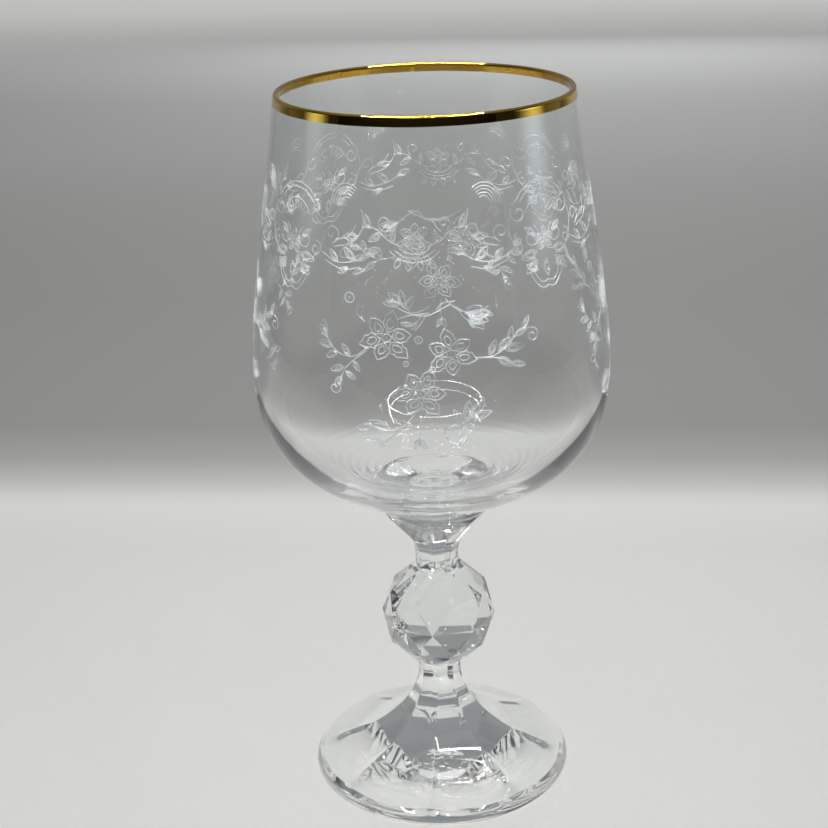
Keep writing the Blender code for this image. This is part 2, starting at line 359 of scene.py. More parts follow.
LOW_WELD = 0.5 * (FOOT_TOP + KNOP_LOW)
foot = lofted("cut_foot", foot_outlines(LOW_WELD), HOLLOW_DEPTH, LOW_WELD)
foot.data.shade_smooth()
foot.data.set_sharp_from_angle(angle=SMOOTH_UNDER)
give_materials(foot, foot_crystal, [LOW_WELD])
hand_over(foot, "foot")


# ---- Knop ----------------------------------------------------------------------------------
# A ball of crystal between the two necks, ground on the wheel into flat triangles that meet at
# sharp corners. Both necks are fused to the small flat at each end.

knop_low, knop_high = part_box("knop")
stem_low, stem_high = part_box("upper_stem")
KNOP_CENTRE = 0.5 * (knop_low[2] + knop_high[2])
KNOP_RADIUS = knop_high[0]
KNOP_HALF = 0.5 * (knop_high[2] - knop_low[2])
KNOP_END = math.sqrt(KNOP_RADIUS ** 2 - KNOP_HALF ** 2)
SHOULDER = math.radians(29.3)
SHARP_CORNERS = 4000.0
ROOT_RADIUS = STEM_RADIUS + 0.12 * MM
HIGH_WELD = 0.5 * (knop_high[2] + stem_low[2])


def ring(bm, radius, height, turn):
    return [bm.verts.new((radius * math.cos(PANEL * (k + turn)),
                          radius * math.sin(PANEL * (k + turn)), height))
            for k in range(PANELS)]


def loop_of(bm, radii, height):
    return [bm.verts.new((r * math.cos(a), r * math.sin(a), height)) for r, a in zip(radii, ANGLES)]


def faceted_knop():
    bm = bmesh.new()
    per_panel = len(ANGLES) // PANELS
    sharp = panel_share(ANGLES, SHARP_CORNERS)
    soft = panel_share(ANGLES)
    middle = ring(bm, KNOP_RADIUS, KNOP_CENTRE, 0.0)
    for side in (-1, 1):
        shoulder = ring(bm, KNOP_RADIUS * math.cos(SHOULDER),
                        KNOP_CENTRE + side * KNOP_RADIUS * math.sin(SHOULDER), 0.5)
        end_height = KNOP_CENTRE + side * KNOP_HALF
        weld = HIGH_WELD if side > 0 else LOW_WELD
        end = loop_of(bm, KNOP_END * sharp, end_height)
        root = loop_of(bm, ROOT_RADIUS * soft, end_height)
        neck = loop_of(bm, STEM_RADIUS * soft, weld)
        count = len(ANGLES)
        for k in range(PANELS):
            n = (k + 1) % PANELS
            bm.faces.new((middle[k], middle[n], shoulder[k]))
            bm.faces.new((shoulder[k], middle[n], shoulder[n]))
            edge = [end[(k * per_panel + i) % count] for i in range(per_panel + 1)]
            bm.faces.new([shoulder[k]] + edge[::-1])
            bm.faces.new((shoulder[k], shoulder[n], end[(n * per_panel) % count]))
        for k in range(count):
            n = (k + 1) % count
            bm.faces.new((end[k], end[n], root[n], root[k]))
            bm.faces.new((root[k], root[n], neck[n], neck[k]))
        bm.faces.new(neck)
    bmesh.ops.recalc_face_normals(bm, faces=bm.faces)
    return made(bm, "cut_knop")


knop = faceted_knop()
give_materials(knop, cut_crystal, [LOW_WELD, HIGH_WELD])
hand_over(knop, "knop")


# ---- Upper stem ----------------------------------------------------------------------------
# A short eight-sided neck of crystal that spreads under the bowl. Its panels run out on a round
# collar, which is fused to the bowl's thick base.

bowl_low, bowl_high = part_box("bowl")
BASE_RADIUS = stem_high[0]
STEM_TOP = stem_high[2]
BOWL_WELD = 0.5 * (STEM_TOP + bowl_low[2])
NECK_TOP = stem_low[2] + 2.8 * MM
NECK_PAST = BASE_RADIUS + 1.4 * MM
NECK_INSET = 2.7 * MM
COLLAR_HEIGHT = 1.0 * MM
COLLAR_TAPER = 0.5


def upper_stem_outlines():
    flare_height = STEM_TOP - NECK_TOP
    flare = bezier((STEM_RADIUS, NECK_TOP), (STEM_RADIUS, NECK_TOP + 0.31 * flare_height),
                   (0.5 * (STEM_RADIUS + NECK_PAST) - NECK_INSET, NECK_TOP + 0.42 * flare_height),
                   (NECK_PAST, STEM_TOP), FINE_STEPS)
    outlines = []
    for share in panel_share(ANGLES):
        panel = flare * (share, 1.0)
        collar = BASE_RADIUS - COLLAR_TAPER * np.clip(STEM_TOP - panel[:, 1], 0, COLLAR_HEIGHT)
        reached = np.nonzero(panel[:, 0] >= collar)[0]
        at = reached[0] if len(reached) else len(panel) - 1
        top = panel[at]
        cone_height = max(top[1], STEM_TOP - COLLAR_HEIGHT)
        cone = BASE_RADIUS - COLLAR_TAPER * (STEM_TOP - cone_height)
        band = np.array([[min(top[0], cone), top[1]], [cone, cone_height], [BASE_RADIUS, STEM_TOP],
                         [BASE_RADIUS, BOWL_WELD]])
        neck = np.array([[STEM_RADIUS * share, HIGH_WELD + f * (NECK_TOP - HIGH_WELD)]
                         for f in (0.0, 0.33, 0.66)])
        outlines.append(np.concatenate([neck, resampled(panel[:at + 1], 70, 1.4)[:-1],
                                        resampled(band, 8)]))
    return outlines


upper_stem = lofted("cut_upper_stem", upper_stem_outlines(), HIGH_WELD, BOWL_WELD)
upper_stem.data.shade_smooth()
upper_stem.data.set_sharp_from_angle(angle=SMOOTH_UNDER)
give_materials(upper_stem, cut_crystal, [HIGH_WELD, BOWL_WELD])
hand_over(upper_stem, "upper_stem")


# ---- Bowl ----------------------------------------------------------------------------------
# Blown thin and even, with the thick base that the blowing iron leaves. The wall leans in
# towards the lip, and its skin carries a trace of the waviness of blown glass.

BOWL_RADIUS = bowl_high[0]
LIP_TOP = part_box("gold_rim")[1][2]
WIDEST = bowl_low[2] + 33.1 * MM
ABOVE = LIP_TOP - WIDEST
BELOW = WIDEST - bowl_low[2]
LIP_RADIUS = 32.3 * MM
LIP_TAPER = 0.1175
LIP_THICKNESS = 1.2 * MM
WALL = 1.3 * MM
BOWL_FLOOR = 5.0 * MM
GILT = 0.12 * MM
GILT_GAP = 0.02 * MM
GILT_HEIGHT = 2.1 * MM
GILT_INSIDE = 1.9 * MM
BASE_SLOPE = math.radians(33)
UPPER_EASE = 0.27
LIP_EASE = 0.37
WALL_STEPS = 52
BLOWN_TINT = (0.985, 0.992, 0.992)


def outer_wall(steps=WALL_STEPS):
    """From the base up to the lip."""
    reach = 0.52 * (BOWL_RADIUS - BASE_RADIUS)
    lower = bezier((BASE_RADIUS, bowl_low[2]),
                   (BASE_RADIUS + reach * math.cos(BASE_SLOPE), bowl_low[2] + reach * math.sin(BASE_SLOPE)),
                   (BOWL_RADIUS, WIDEST - 0.68 * BELOW), (BOWL_RADIUS, WIDEST), steps)
    upper = bezier((BOWL_RADIUS, WIDEST), (BOWL_RADIUS, WIDEST + UPPER_EASE * ABOVE),
                   (LIP_RADIUS + LIP_EASE * ABOVE * LIP_TAPER, LIP_TOP - LIP_EASE * ABOVE),
                   (LIP_RADIUS, LIP_TOP), steps)
    return np.concatenate([lower, upper[1:]])


def inner_wall(steps=WALL_STEPS):
    """From the floor up to the lip."""
    floor = bowl_low[2] + BOWL_FLOOR
    radius = BOWL_RADIUS - WALL
    lip = LIP_RADIUS - LIP_THICKNESS
    lower = bezier((0.3 * MM, floor), (0.62 * radius, floor),
                   (radius, WIDEST - 0.66 * (WIDEST - floor)), (radius, WIDEST), steps)
    upper = bezier((radius, WIDEST), (radius, WIDEST + UPPER_EASE * ABOVE),
                   (lip + LIP_EASE * ABOVE * LIP_TAPER, LIP_TOP - LIP_EASE * ABOVE),
                   (lip, LIP_TOP), steps)
    return np.concatenate([lower, upper[1:]])


def wall_radius(wall, height):
    upper = wall[wall[:, 1] > WIDEST - 1 * MM]
    return float(np.interp(height, upper[:, 1], upper[:, 0]))


def lip_arc(inset, steps):
    """The rounded lip, from its outside over to its inside, set back under the gilding."""
    half = 0.5 * LIP_THICKNESS - inset
    angles = np.linspace(0, math.pi, steps + 1)
    centre = LIP_RADIUS - 0.5 * LIP_THICKNESS
    return np.stack([centre + half * np.cos(angles),
                     LIP_TOP - 0.5 * LIP_THICKNESS + half * np.sin(angles)], 1)


def bowl_outline():
    outer, inner = outer_wall(), inner_wall()
    inset = GILT + GILT_GAP
    out_edge, in_edge = LIP_TOP - GILT_HEIGHT - GILT_GAP, LIP_TOP - GILT_INSIDE - GILT_GAP
    out_r, in_r = wall_radius(outer, out_edge), wall_radius(inner, in_edge)
    return np.concatenate([[(BASE_RADIUS, BOWL_WELD)], outer[outer[:, 1] < out_edge],
                           [(out_r, out_edge), (out_r - inset, out_edge)],
                           lip_arc(inset, 8),
                           [(in_r + inset, in_edge), (in_r, in_edge)],
                           inner[inner[:, 1] < in_edge][::-1]])


blown_crystal = crystal("blown_crystal", BLOWN_TINT, 0.01 * MM, 28.0, 0.012)
spun_rings = node_with(blown_crystal.node_tree.nodes, "ShaderNodeTexWave",
                       {"Scale": 150.0, "Distortion": 1.2, "Detail": 2.0, "Detail Scale": 0.6})
spun_rings.wave_type = "RINGS"
spun_rings.rings_direction = "Z"
more_waves(blown_crystal, spun_rings, 0.05 * MM, (0.0, 0.0), (28.0 * MM, 36.0 * MM),
           (71.0 * MM, 82.0 * MM))
outline = bowl_outline()
bowl = lofted("blown_bowl", [outline] * len(ANGLES), BOWL_WELD, bowl_low[2] + BOWL_FLOOR)
bowl.data.shade_smooth()
bowl.data.set_sharp_from_angle(angle=math.radians(40))
give_materials(bowl, blown_crystal, [BOWL_WELD])
hand_over(bowl, "bowl")


# ---- Gold rim ------------------------------------------------------------------------------
# Liquid gold brushed over the lip and fired, then burnished. It is a film, so it shows the lip's
# own roundness, with fine brush marks round it.

GILT_ROWS = 10
GILT_LIP_STEPS = 18


def gold_section():
    outer, inner = outer_wall(), inner_wall()
    out_low, in_low = LIP_TOP - GILT_HEIGHT, LIP_TOP - GILT_INSIDE
    heights_out = np.linspace(out_low, LIP_TOP - 0.5 * LIP_THICKNESS, GILT_ROWS)
    heights_in = np.linspace(LIP_TOP - 0.5 * LIP_THICKNESS, in_low, GILT_ROWS)
    top_out, top_in = LIP_RADIUS, LIP_RADIUS - LIP_THICKNESS
    ease_out = (heights_out - out_low) / (heights_out[-1] - out_low)
    ease_in = (heights_in[0] - heights_in) / (heights_in[0] - in_low)
    out_r = wall_radius(outer, out_low) * (1 - ease_out) + top_out * ease_out
    in_r = top_in * (1 - ease_in) + wall_radius(inner, in_low) * ease_in
    face = np.concatenate([np.stack([out_r, heights_out], 1)[:-1], lip_arc(0.0, GILT_LIP_STEPS),
                           np.stack([in_r, heights_in], 1)[1:]])
    back = np.concatenate([np.stack([out_r - GILT, heights_out], 1)[:-1], lip_arc(GILT, GILT_LIP_STEPS),
                           np.stack([in_r + GILT, heights_in], 1)[1:]])
    return np.concatenate([face, back[::-1]])


def burnished_gold():
    material, nodes, links, gold = surface("burnished_gold", {"Metallic": 1.0})
    blotch = noise(nodes, links, 220.0, 4.0)
    colour = graded(nodes, links, blotch, (0.46, 0.265, 0.03), (0.74, 0.46, 0.075))
    links.new(colour, gold.inputs["Base Color"])
    links.new(ranged(nodes, links, blotch, 0.015, 0.07), gold.inputs["Roughness"])
    where = nodes.new("ShaderNodeTexCoord")
    stretch = node_with(nodes, "ShaderNodeMapping", {"Scale": (1.0, 1.0, 0.12)})
    marks = node_with(nodes, "ShaderNodeTexNoise", {"Scale": 1600.0, "Detail": 2.0})
    links.new(where.outputs["Object"], stretch.inputs["Vector"])
    links.new(stretch.outputs["Vector"], marks.inputs["Vector"])
    brushed = raised(nodes, links, marks.outputs["Fac"], 0.02 * MM, 0.30)
    links.new(brushed.outputs["Normal"], gold.inputs["Normal"])
    return material


rim = lofted("gilded_rim", [gold_section()] * len(ANGLES))
rim.data.shade_smooth()
rim.data.set_sharp_from_angle(angle=math.radians(50))
rim.data.materials.append(burnished_gold())
hand_over(rim, "gold_rim")


# ---- Etched flowers and garland -------------------------------------------------------------
# Fine lines drawn through a resist on the bowl's outside and bitten white with acid. A garland of
# scrolls runs round under the lip and a spray of flowers hangs below it, four times round.

ETCH_REPEATS = 4
ETCH_RADIUS = 37.0 * MM
ETCH_TURN = math.radians(-88)
LINE_WIDTH = 0.22 * MM
LINE_HEIGHT = 0.14 * MM
LINE_STEP = 0.45 * MM
RAY_START = 100 * MM
PITCH = math.tau * ETCH_RADIUS / MM / ETCH_REPEATS


class Drawing:
    """Strokes on the flat, in millimetres: across from the middle of one repeat, and height."""

    def __init__(self):
        self.strokes = []

    def line(self, points, closed=False):
        self.strokes.append((np.array(points, dtype=float), closed))

    def path(self, *points):
        """A smooth stroke through the given points."""
        p = np.array(points, dtype=float)
        p = np.concatenate([[2 * p[0] - p[1]], p, [2 * p[-1] - p[-2]]])
        out = []
        for a, b, c, d in zip(p, p[1:], p[2:], p[3:]):
            for t in np.linspace(0, 1, 7)[:-1]:
                out.append(0.5 * (2 * b + (c - a) * t + (2 * a - 5 * b + 4 * c - d) * t * t
                                  + (3 * b - a - 3 * c + d) * t ** 3))
        out.append(p[-2])
        self.line(out)

    def arc(self, x, y, radius, start, end, lean=1.0):
        angles = np.radians(np.linspace(start, end, max(4, int(abs(end - start) / 14))))
        self.line(np.stack([x + radius * np.cos(angles), y + lean * radius * np.sin(angles)], 1))

    def ring(self, x, y, radius):
        angles = np.linspace(0, math.tau, 13)[:-1]
        self.line(np.stack([x + radius * np.cos(angles), y + radius * np.sin(angles)], 1), True)

    def dot(self, x, y):
        self.line([(x - 0.12, y), (x + 0.12, y + 0.06)])

    def curl(self, x, y, radius, start, sweep):
        """A scroll that winds in to its centre."""
        t = np.linspace(0, 1, max(8, int(abs(sweep) / 20)))
        angles = np.radians(start + sweep * t)
        r = radius * (1 - 0.78 * t)
        self.line(np.stack([x + r * np.cos(angles), y + r * np.sin(angles)], 1))

    def blade(self, x, y, turn, length, width, tip=0.0, inner=0.55, cut=0.0):
        """A petal or leaf from its root (x, y): an outline with a pointed tip, and a smaller one inside."""
        c, s = math.cos(math.radians(turn)), math.sin(math.radians(turn))
        for scale, shift in ((1.0, 0.0), (inner, 0.16)):
            if scale == 0:
                continue
            t = np.linspace(0, 1, 9)
            across = 0.5 * width * scale * np.sin(math.pi * t ** 0.85) * (1 + cut * np.cos(6 * math.pi * t))
            along = length * (shift + scale * t)
            bend = tip * length * t * t
            one = np.stack([along, across + bend], 1)
            two = np.stack([along, -across + bend], 1)
            outline = np.concatenate([one, two[::-1][1:]])
            self.line(np.stack([x + c * outline[:, 0] - s * outline[:, 1],
                                y + s * outline[:, 0] + c * outline[:, 1]], 1))

    def flower(self, x, y, radius, turn, petals=6):
        for k in range(petals):
            angle = turn + 360 * k / petals
            root = 0.22 * radius
            size = radius * (0.90 if k % 2 else 0.74)
            self.blade(x + root * math.cos(math.radians(angle)), y + root * math.sin(math.radians(angle)),
                       angle, size, 0.56 * radius, 0.10 if k % 2 else -0.08, 0.50, 0.22 if k % 2 else 0.14)
        self.ring(x, y, 0.17 * radius)
        self.dot(x, y)

    def fan(self, x, y, inner, outer, start, end, count):
        for angle in np.radians(np.linspace(start, end, count)):
            self.line([(x + inner * math.cos(angle), y + inner * math.sin(angle)),
                       (x + outer * math.cos(angle), y + outer * math.sin(angle))])


def spray():
    """Three flowers on curling stems, with leaf sprigs to both sides."""
    d = Drawing()
    d.flower(-5.8, 121.6, 5.2, 12)
    d.flower(6.6, 118.3, 4.8, 38)
    d.flower(0.7, 110.2, 5.0, 2)
    d.path((-3.6, 125.4), (-1.0, 126.3), (2.4, 126.2), (6.8, 128.3))
    d.path((-6.0, 129.6), (-3.2, 127.6), (-0.4, 126.5), (2.6, 126.7))
    d.path((1.9, 126.1), (0.9, 124.4), (-0.2, 123.2))
    d.path((6.8, 128.3), (9.0, 127.0), (10.6, 125.7))
    d.path((4.0, 127.2), (5.4, 128.6), (7.8, 128.9))
    for turn in (-28, -52, -6):
        d.blade(10.4, 125.9, turn, 4.4, 1.7, 0.10, 0.55)
    for x, y, r in ((-13.6, 129.2, 1.05), (0.5, 121.3, 0.75), (3.0, 115.2, 0.6), (-2.0, 116.4, 0.55)):
        d.ring(x, y, r)
        d.dot(x, y)
    d.path((-9.6, 119.6), (-11.8, 117.6), (-14.6, 117.3), (-17.2, 118.8), (-19.0, 121.4))
    d.path((-9.8, 118.8), (-12.2, 116.8), (-14.4, 114.4), (-15.4, 111.6))
    d.path((-10.2, 124.6), (-12.0, 126.2), (-11.6, 128.2))
    for x, y, turn, size in ((-17.2, 118.8, 165, 3.4), (-18.4, 120.6, 128, 3.2), (-19.0, 121.4, 92, 2.8),
                             (-16.0, 117.8, 202, 3.0), (-13.4, 117.2, 118, 3.0), (-14.6, 114.8, 192, 3.2),
                             (-15.0, 112.8, 232, 3.0), (-14.2, 114.0, -40, 2.6), (-12.6, 116.4, -62, 2.6)):
        d.blade(x, y, turn, size, 0.42 * size, 0.12, 0.5, 0.08)
    d.curl(-16.6, 110.2, 1.5, 60, -420)
    d.path((11.2, 117.2), (14.4, 116.9), (17.6, 118.4), (20.4, 121.0), (23.0, 121.6))
    d.path((13.2, 117.1), (16.6, 116.2), (18.8, 114.8))
    d.curl(23.6, 119.9, 1.7, 100, -430)
    for x, y, turn, size in ((14.2, 117.2, 70, 3.4), (16.0, 117.9, 48, 3.6), (18.6, 119.2, 84, 3.4),
                             (17.4, 118.0, 6, 4.4), (15.8, 116.5, -30, 3.8), (18.6, 115.0, -12, 3.2),
                             (21.8, 121.6, 66, 2.8), (19.6, 120.4, 28, 3.2)):
        d.blade(x, y, turn, size, 0.40 * size, -0.08, 0.55, 0.06)
    d.path((-0.6, 105.8), (-2.6, 103.4), (-5.6, 102.2), (-8.6, 102.8))
    d.path((1.6, 105.8), (3.6, 103.2), (6.6, 102.2), (9.2, 103.8), (10.2, 105.6))
    d.path((0.4, 105.6), (0.6, 103.0), (0.2, 100.4))
    d.path((-3.6, 103.0), (-5.2, 100.6), (-7.4, 99.6))
    d.path((5.0, 102.6), (5.6, 100.2), (7.4, 98.8))
    for x, y, turn, size in ((-5.4, 102.3, 152, 4.6), (-8.4, 102.8, 186, 4.0), (9.0, 103.8, 74, 4.6),
                             (9.8, 105.0, 40, 4.4), (8.4, 103.0, 108, 4.0), (10.2, 104.6, 8, 4.2),
                             (-7.2, 99.7, 172, 3.2), (-6.0, 100.2, 226, 2.6), (7.2, 99.0, 8, 3.2),
                             (6.0, 99.8, -58, 2.6), (0.2, 100.6, -66, 2.8), (0.3, 100.6, -116, 2.8)):
        d.blade(x, y, turn, size, 0.40 * size, 0.10, 0.55, 0.08)
    return d


def garland():
    """A shell-topped cartouche at the ends of each repeat, and swags and scrolls between them."""
    d = Drawing()
    x = PITCH / 2
    d.arc(x, 143.6, 7.6, 28, 152, 0.92)
    d.arc(x, 143.4, 6.7, 34, 146, 0.92)
    d.arc(x, 142.8, 4.6, 20, 160)
    d.fan(x, 142.8, 2.4, 4.0, 30, 150, 8)
    for side in (-1, 1):
        d.curl(x + side * 6.2, 144.6, 2.0, 90 - side * 60, side * -400)
        d.curl(x + side * 3.4, 139.4, 2.3, 90 + side * 20, side * 430)
        d.curl(x + side * 6.6, 138.0, 1.7, 90, side * -400)
        d.path((x + side * 8.4, 144.0), (x + side * 8.8, 140.8), (x + side * 6.2, 136.2),
               (x + side * 3.0, 135.0))
        out = 0 if side > 0 else 180
        for y, turn, size in ((136.4, -18, 4.2), (134.6, -42, 3.8), (132.8, 18, 3.2), (140.0, 24, 3.0)):
            d.blade(x + side * 2.4, y, out + side * turn, size, 0.45 * size, side * 0.1, 0.55, 0.08)
        d.path((x, 129.2), (x + side * 1.6, 128.8), (x + side * 3.4, 130.4), (x + side * 4.4, 132.2))
        d.path((x, 130.4), (x + side * 1.4, 130.0), (x + side * 2.6, 131.0), (x + side * 3.4, 132.4))
    d.flower(x, 138.6, 2.7, 90, 5)
    d.blade(x, 134.4, -90, 3.4, 1.6)
    d.ring(x, 147.2, 0.6)
    for side in (-1, 1):
        for k in range(5):
            d.arc(side * 15.0, 147.6, 3.9 - 0.62 * k, 90 - side * 95, 90 + side * 38, 1.05)
        d.path((side * 11.4, 146.8), (side * 11.0, 143.4), (side * 13.4, 140.2), (side * 17.6, 139.0))
        d.path((side * 12.6, 143.6), (side * 14.2, 141.4), (side * 17.4, 140.4))
        d.curl(side * 18.4, 141.6, 2.0, 90 + side * 170, side * -430)
        d.path((side * 11.0, 143.4), (side * 8.2, 143.2), (side * 5.4, 141.0), (side * 2.6, 139.8))
        d.path((side * 20.4, 137.6), (side * 17.0, 136.0), (side * 12.6, 136.6), (side * 9.0, 138.6))
        d.path((side * 19.6, 136.0), (side * 15.4, 134.7), (side * 11.4, 135.4))
        d.curl(side * 6.2, 144.4, 1.6, 90 - side * 160, side * 400)
        out = 0 if side > 0 else 180
        for x, y, turn, size in ((9.4, 143.2, 62, 3.0), (7.0, 142.4, -40, 3.2), (12.0, 141.4, -8, 3.6),
                                 (12.6, 136.8, 34, 3.6), (10.2, 138.0, 150, 3.4), (16.6, 136.2, 42, 3.0),
                                 (14.2, 135.2, -34, 2.8), (4.6, 140.6, 96, 2.6)):
            d.blade(side * x, y, out + side * turn, size, 0.42 * size, side * 0.1, 0.55, 0.08)
    for k, radius in enumerate((6.4, 5.5, 4.5)):
        d.arc(0, 142.4, radius, 218 + 3 * k, 322 - 3 * k, 0.9)
    d.flower(0, 141.6, 3.0, 90, 6)
    for x in (-3.0, -1.0, 1.0, 3.0):
        d.blade(x, 137.0 + 0.12 * abs(x), -90 + 10 * x, 2.2, 1.1, 0, 0)
    for x, y in ((0, 146.0), (-2.4, 145.2), (2.4, 145.2), (0, 133.8), (-21.6, 146.6), (21.6, 146.6)):
        d.dot(x, y)
    return d


def drawn_flat(name, drawing):
    """The strokes as one curve object, lying flat."""
    curve = bpy.data.curves.new(name, "CURVE")
    curve.dimensions = "3D"
    for points, closed in drawing.strokes:
        spline = curve.splines.new("POLY")
        spline.points.add(len(points) - 1)
        spline.use_cyclic_u = closed
        for point, (x, y) in zip(spline.points, points):
            point.co = (x * MM, y * MM, 0.0, 1.0)
    obj = bpy.data.objects.new(name, curve)
    bpy.context.scene.collection.objects.link(obj)
    return obj


def etching_tree():
    """Gives each stroke its width, repeats the drawing round the bowl and wraps it on the wall."""
    tree = bpy.data.node_groups.new("etching", "GeometryNodeTree")
    face = tree.interface
    face.new_socket("Strokes", in_out="INPUT", socket_type="NodeSocketGeometry")
    for name in ("Line Width", "Line Height", "Step", "Pitch", "Flat Radius", "Turn"):
        face.new_socket(name, in_out="INPUT", socket_type="NodeSocketFloat")
    face.new_socket("Repeats", in_out="INPUT", socket_type="NodeSocketInt")
    face.new_socket("Wall", in_out="INPUT", socket_type="NodeSocketObject")
    face.new_socket("Finish", in_out="INPUT", socket_type="NodeSocketMaterial")
    face.new_socket("Etching", in_out="OUTPUT", socket_type="NodeSocketGeometry")
    nodes, links = tree.nodes, tree.links
    given = nodes.new("NodeGroupInput")
    result = nodes.new("NodeGroupOutput")

    def vector_maths(kind, *values):
        node = nodes.new("ShaderNodeVectorMath")
        node.operation = kind
        for socket, value in zip(node.inputs, values):
            links.new(value, socket)
        return node

    even = nodes.new("GeometryNodeResampleCurve")
    even.mode = "LENGTH"
    links.new(given.outputs["Strokes"], even.inputs["Curve"])
    links.new(given.outputs["Step"], even.inputs["Length"])
    section = nodes.new("GeometryNodeCurvePrimitiveCircle")
    section.inputs["Resolution"].default_value = 6
    half_width = maths(nodes, links, "MULTIPLY", given.outputs["Line Width"], 0.5)
    links.new(half_width, section.inputs["Radius"])
    sweep = nodes.new("GeometryNodeCurveToMesh")
    sweep.inputs["Fill Caps"].default_value = True
    links.new(even.outputs["Curve"], sweep.inputs["Curve"])
    links.new(section.outputs["Curve"], sweep.inputs["Profile Curve"])
    row = nodes.new("GeometryNodeMeshLine")
    links.new(given.outputs["Repeats"], row.inputs["Count"])
    apart = nodes.new("ShaderNodeCombineXYZ")
    links.new(given.outputs["Pitch"], apart.inputs["X"])
    links.new(apart.outputs["Vector"], row.inputs["Offset"])
    copies = nodes.new("GeometryNodeInstanceOnPoints")
    links.new(row.outputs["Mesh"], copies.inputs["Points"])
    links.new(sweep.outputs["Mesh"], copies.inputs["Instance"])
    real = nodes.new("GeometryNodeRealizeInstances")
    links.new(copies.outputs["Instances"], real.inputs["Geometry"])

    place = nodes.new("GeometryNodeInputPosition")
    flat = nodes.new("ShaderNodeSeparateXYZ")
    links.new(place.outputs["Position"], flat.inputs["Vector"])
    along = maths(nodes, links, "DIVIDE", flat.outputs["X"], given.outputs["Flat Radius"])
    angle = maths(nodes, links, "ADD", along, given.outputs["Turn"])
    outward = nodes.new("ShaderNodeCombineXYZ")
    links.new(maths(nodes, links, "COSINE", angle), outward.inputs["X"])
    links.new(maths(nodes, links, "SINE", angle), outward.inputs["Y"])
    far = vector_maths("SCALE", outward.outputs["Vector"])
    far.inputs["Scale"].default_value = RAY_START
    level = nodes.new("ShaderNodeCombineXYZ")
    links.new(flat.outputs["Y"], level.inputs["Z"])
    start = vector_maths("ADD", far.outputs["Vector"], level.outputs["Vector"])
    inward = vector_maths("SCALE", outward.outputs["Vector"])
    inward.inputs["Scale"].default_value = -1.0
    wall = nodes.new("GeometryNodeObjectInfo")
    links.new(given.outputs["Wall"], wall.inputs["Object"])
    ray = nodes.new("GeometryNodeRaycast")
    links.new(wall.outputs["Geometry"], ray.inputs["Target Geometry"])
    links.new(start.outputs["Vector"], ray.inputs["Source Position"])
    links.new(inward.outputs["Vector"], ray.inputs["Ray Direction"])
    thin = maths(nodes, links, "DIVIDE", given.outputs["Line Height"], given.outputs["Line Width"])
    proud = vector_maths("SCALE", outward.outputs["Vector"])
    links.new(maths(nodes, links, "MULTIPLY", flat.outputs["Z"], thin), proud.inputs["Scale"])
    on_wall = vector_maths("ADD", ray.outputs["Hit Position"], proud.outputs["Vector"])
    wrap = nodes.new("GeometryNodeSetPosition")
    links.new(real.outputs["Geometry"], wrap.inputs["Geometry"])
    links.new(on_wall.outputs["Vector"], wrap.inputs["Position"])
    whole = nodes.new("GeometryNodeRealizeInstances")
    links.new(wrap.outputs["Geometry"], whole.inputs["Geometry"])
    finish = nodes.new("GeometryNodeSetMaterial")
    links.new(whole.outputs["Geometry"], finish.inputs["Geometry"])
    links.new(given.outputs["Finish"], finish.inputs["Material"])
    links.new(finish.outputs["Geometry"], result.inputs["Etching"])
    return tree


def etched_white():
    """Glass bitten to a fine satin white, denser in some strokes than in others."""
    material, nodes, links, satin = surface("etched_white", {"IOR": 1.42})
    grain = noise(nodes, links, 900.0, 3.0)
    colour = graded(nodes, links, grain, (0.80, 0.85, 0.87), (0.97, 0.99, 1.0))
    links.new(colour, satin.inputs["Base Color"])
    depth = noise(nodes, links, 130.0, 2.0)
    links.new(ranged(nodes, links, depth, 0.98, 0.76, 0.35, 0.70), satin.inputs["Transmission Weight"])
    links.new(ranged(nodes, links, grain, 0.08, 0.30), satin.inputs["Roughness"])
    return material


def etched_on_bowl(name, drawing, tree, finish):
    strokes = drawn_flat(name + "_strokes", drawing)
    modifier = strokes.modifiers.new("etching", "NODES")
    modifier.node_group = tree
    sockets = {item.name: item.identifier for item in tree.interface.items_tree if item.in_out == "INPUT"}
    given = {"Line Width": LINE_WIDTH, "Line Height": LINE_HEIGHT, "Step": LINE_STEP,
             "Pitch": PITCH * MM, "Flat Radius": ETCH_RADIUS, "Turn": ETCH_TURN,
             "Repeats": ETCH_REPEATS, "Wall": bowl, "Finish": finish}
    for title, value in given.items():
        modifier[sockets[title]] = value
    bpy.context.view_layer.update()
    evaluated = strokes.evaluated_get(bpy.context.evaluated_depsgraph_get())
    mesh = bpy.data.meshes.new_from_object(evaluated)
    strokes.modifiers.remove(modifier)
    bpy.data.objects.remove(strokes)
    bm = bmesh.new()
    bm.from_mesh(mesh)
    bmesh.ops.recalc_face_normals(bm, faces=bm.faces)
    bm.to_mesh(mesh)
    bm.free()
    piece = bpy.data.objects.new(name, mesh)
    bpy.context.scene.collection.objects.link(piece)
    piece.data.shade_smooth()
    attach(piece, "root")


tree = etching_tree()
satin = etched_white()
etched_on_bowl("etched_sprays", spray(), tree, satin)
etched_on_bowl("etched_garland", garland(), tree, satin)


# ---- Table ---------------------------------------------------------------------------------
# A sheet of card whose grey carries painted light and shade: pale round the glass, a painted dark band a
# little way out, and paler again far off, standing in for how the lamps light the near and far table.

TABLE_TURN = math.radians(2.6)
TABLE_HEIGHT = -0.05 * MM
TABLE_SIDES = 64
PAINTED_LIGHT_REACH = 2.0


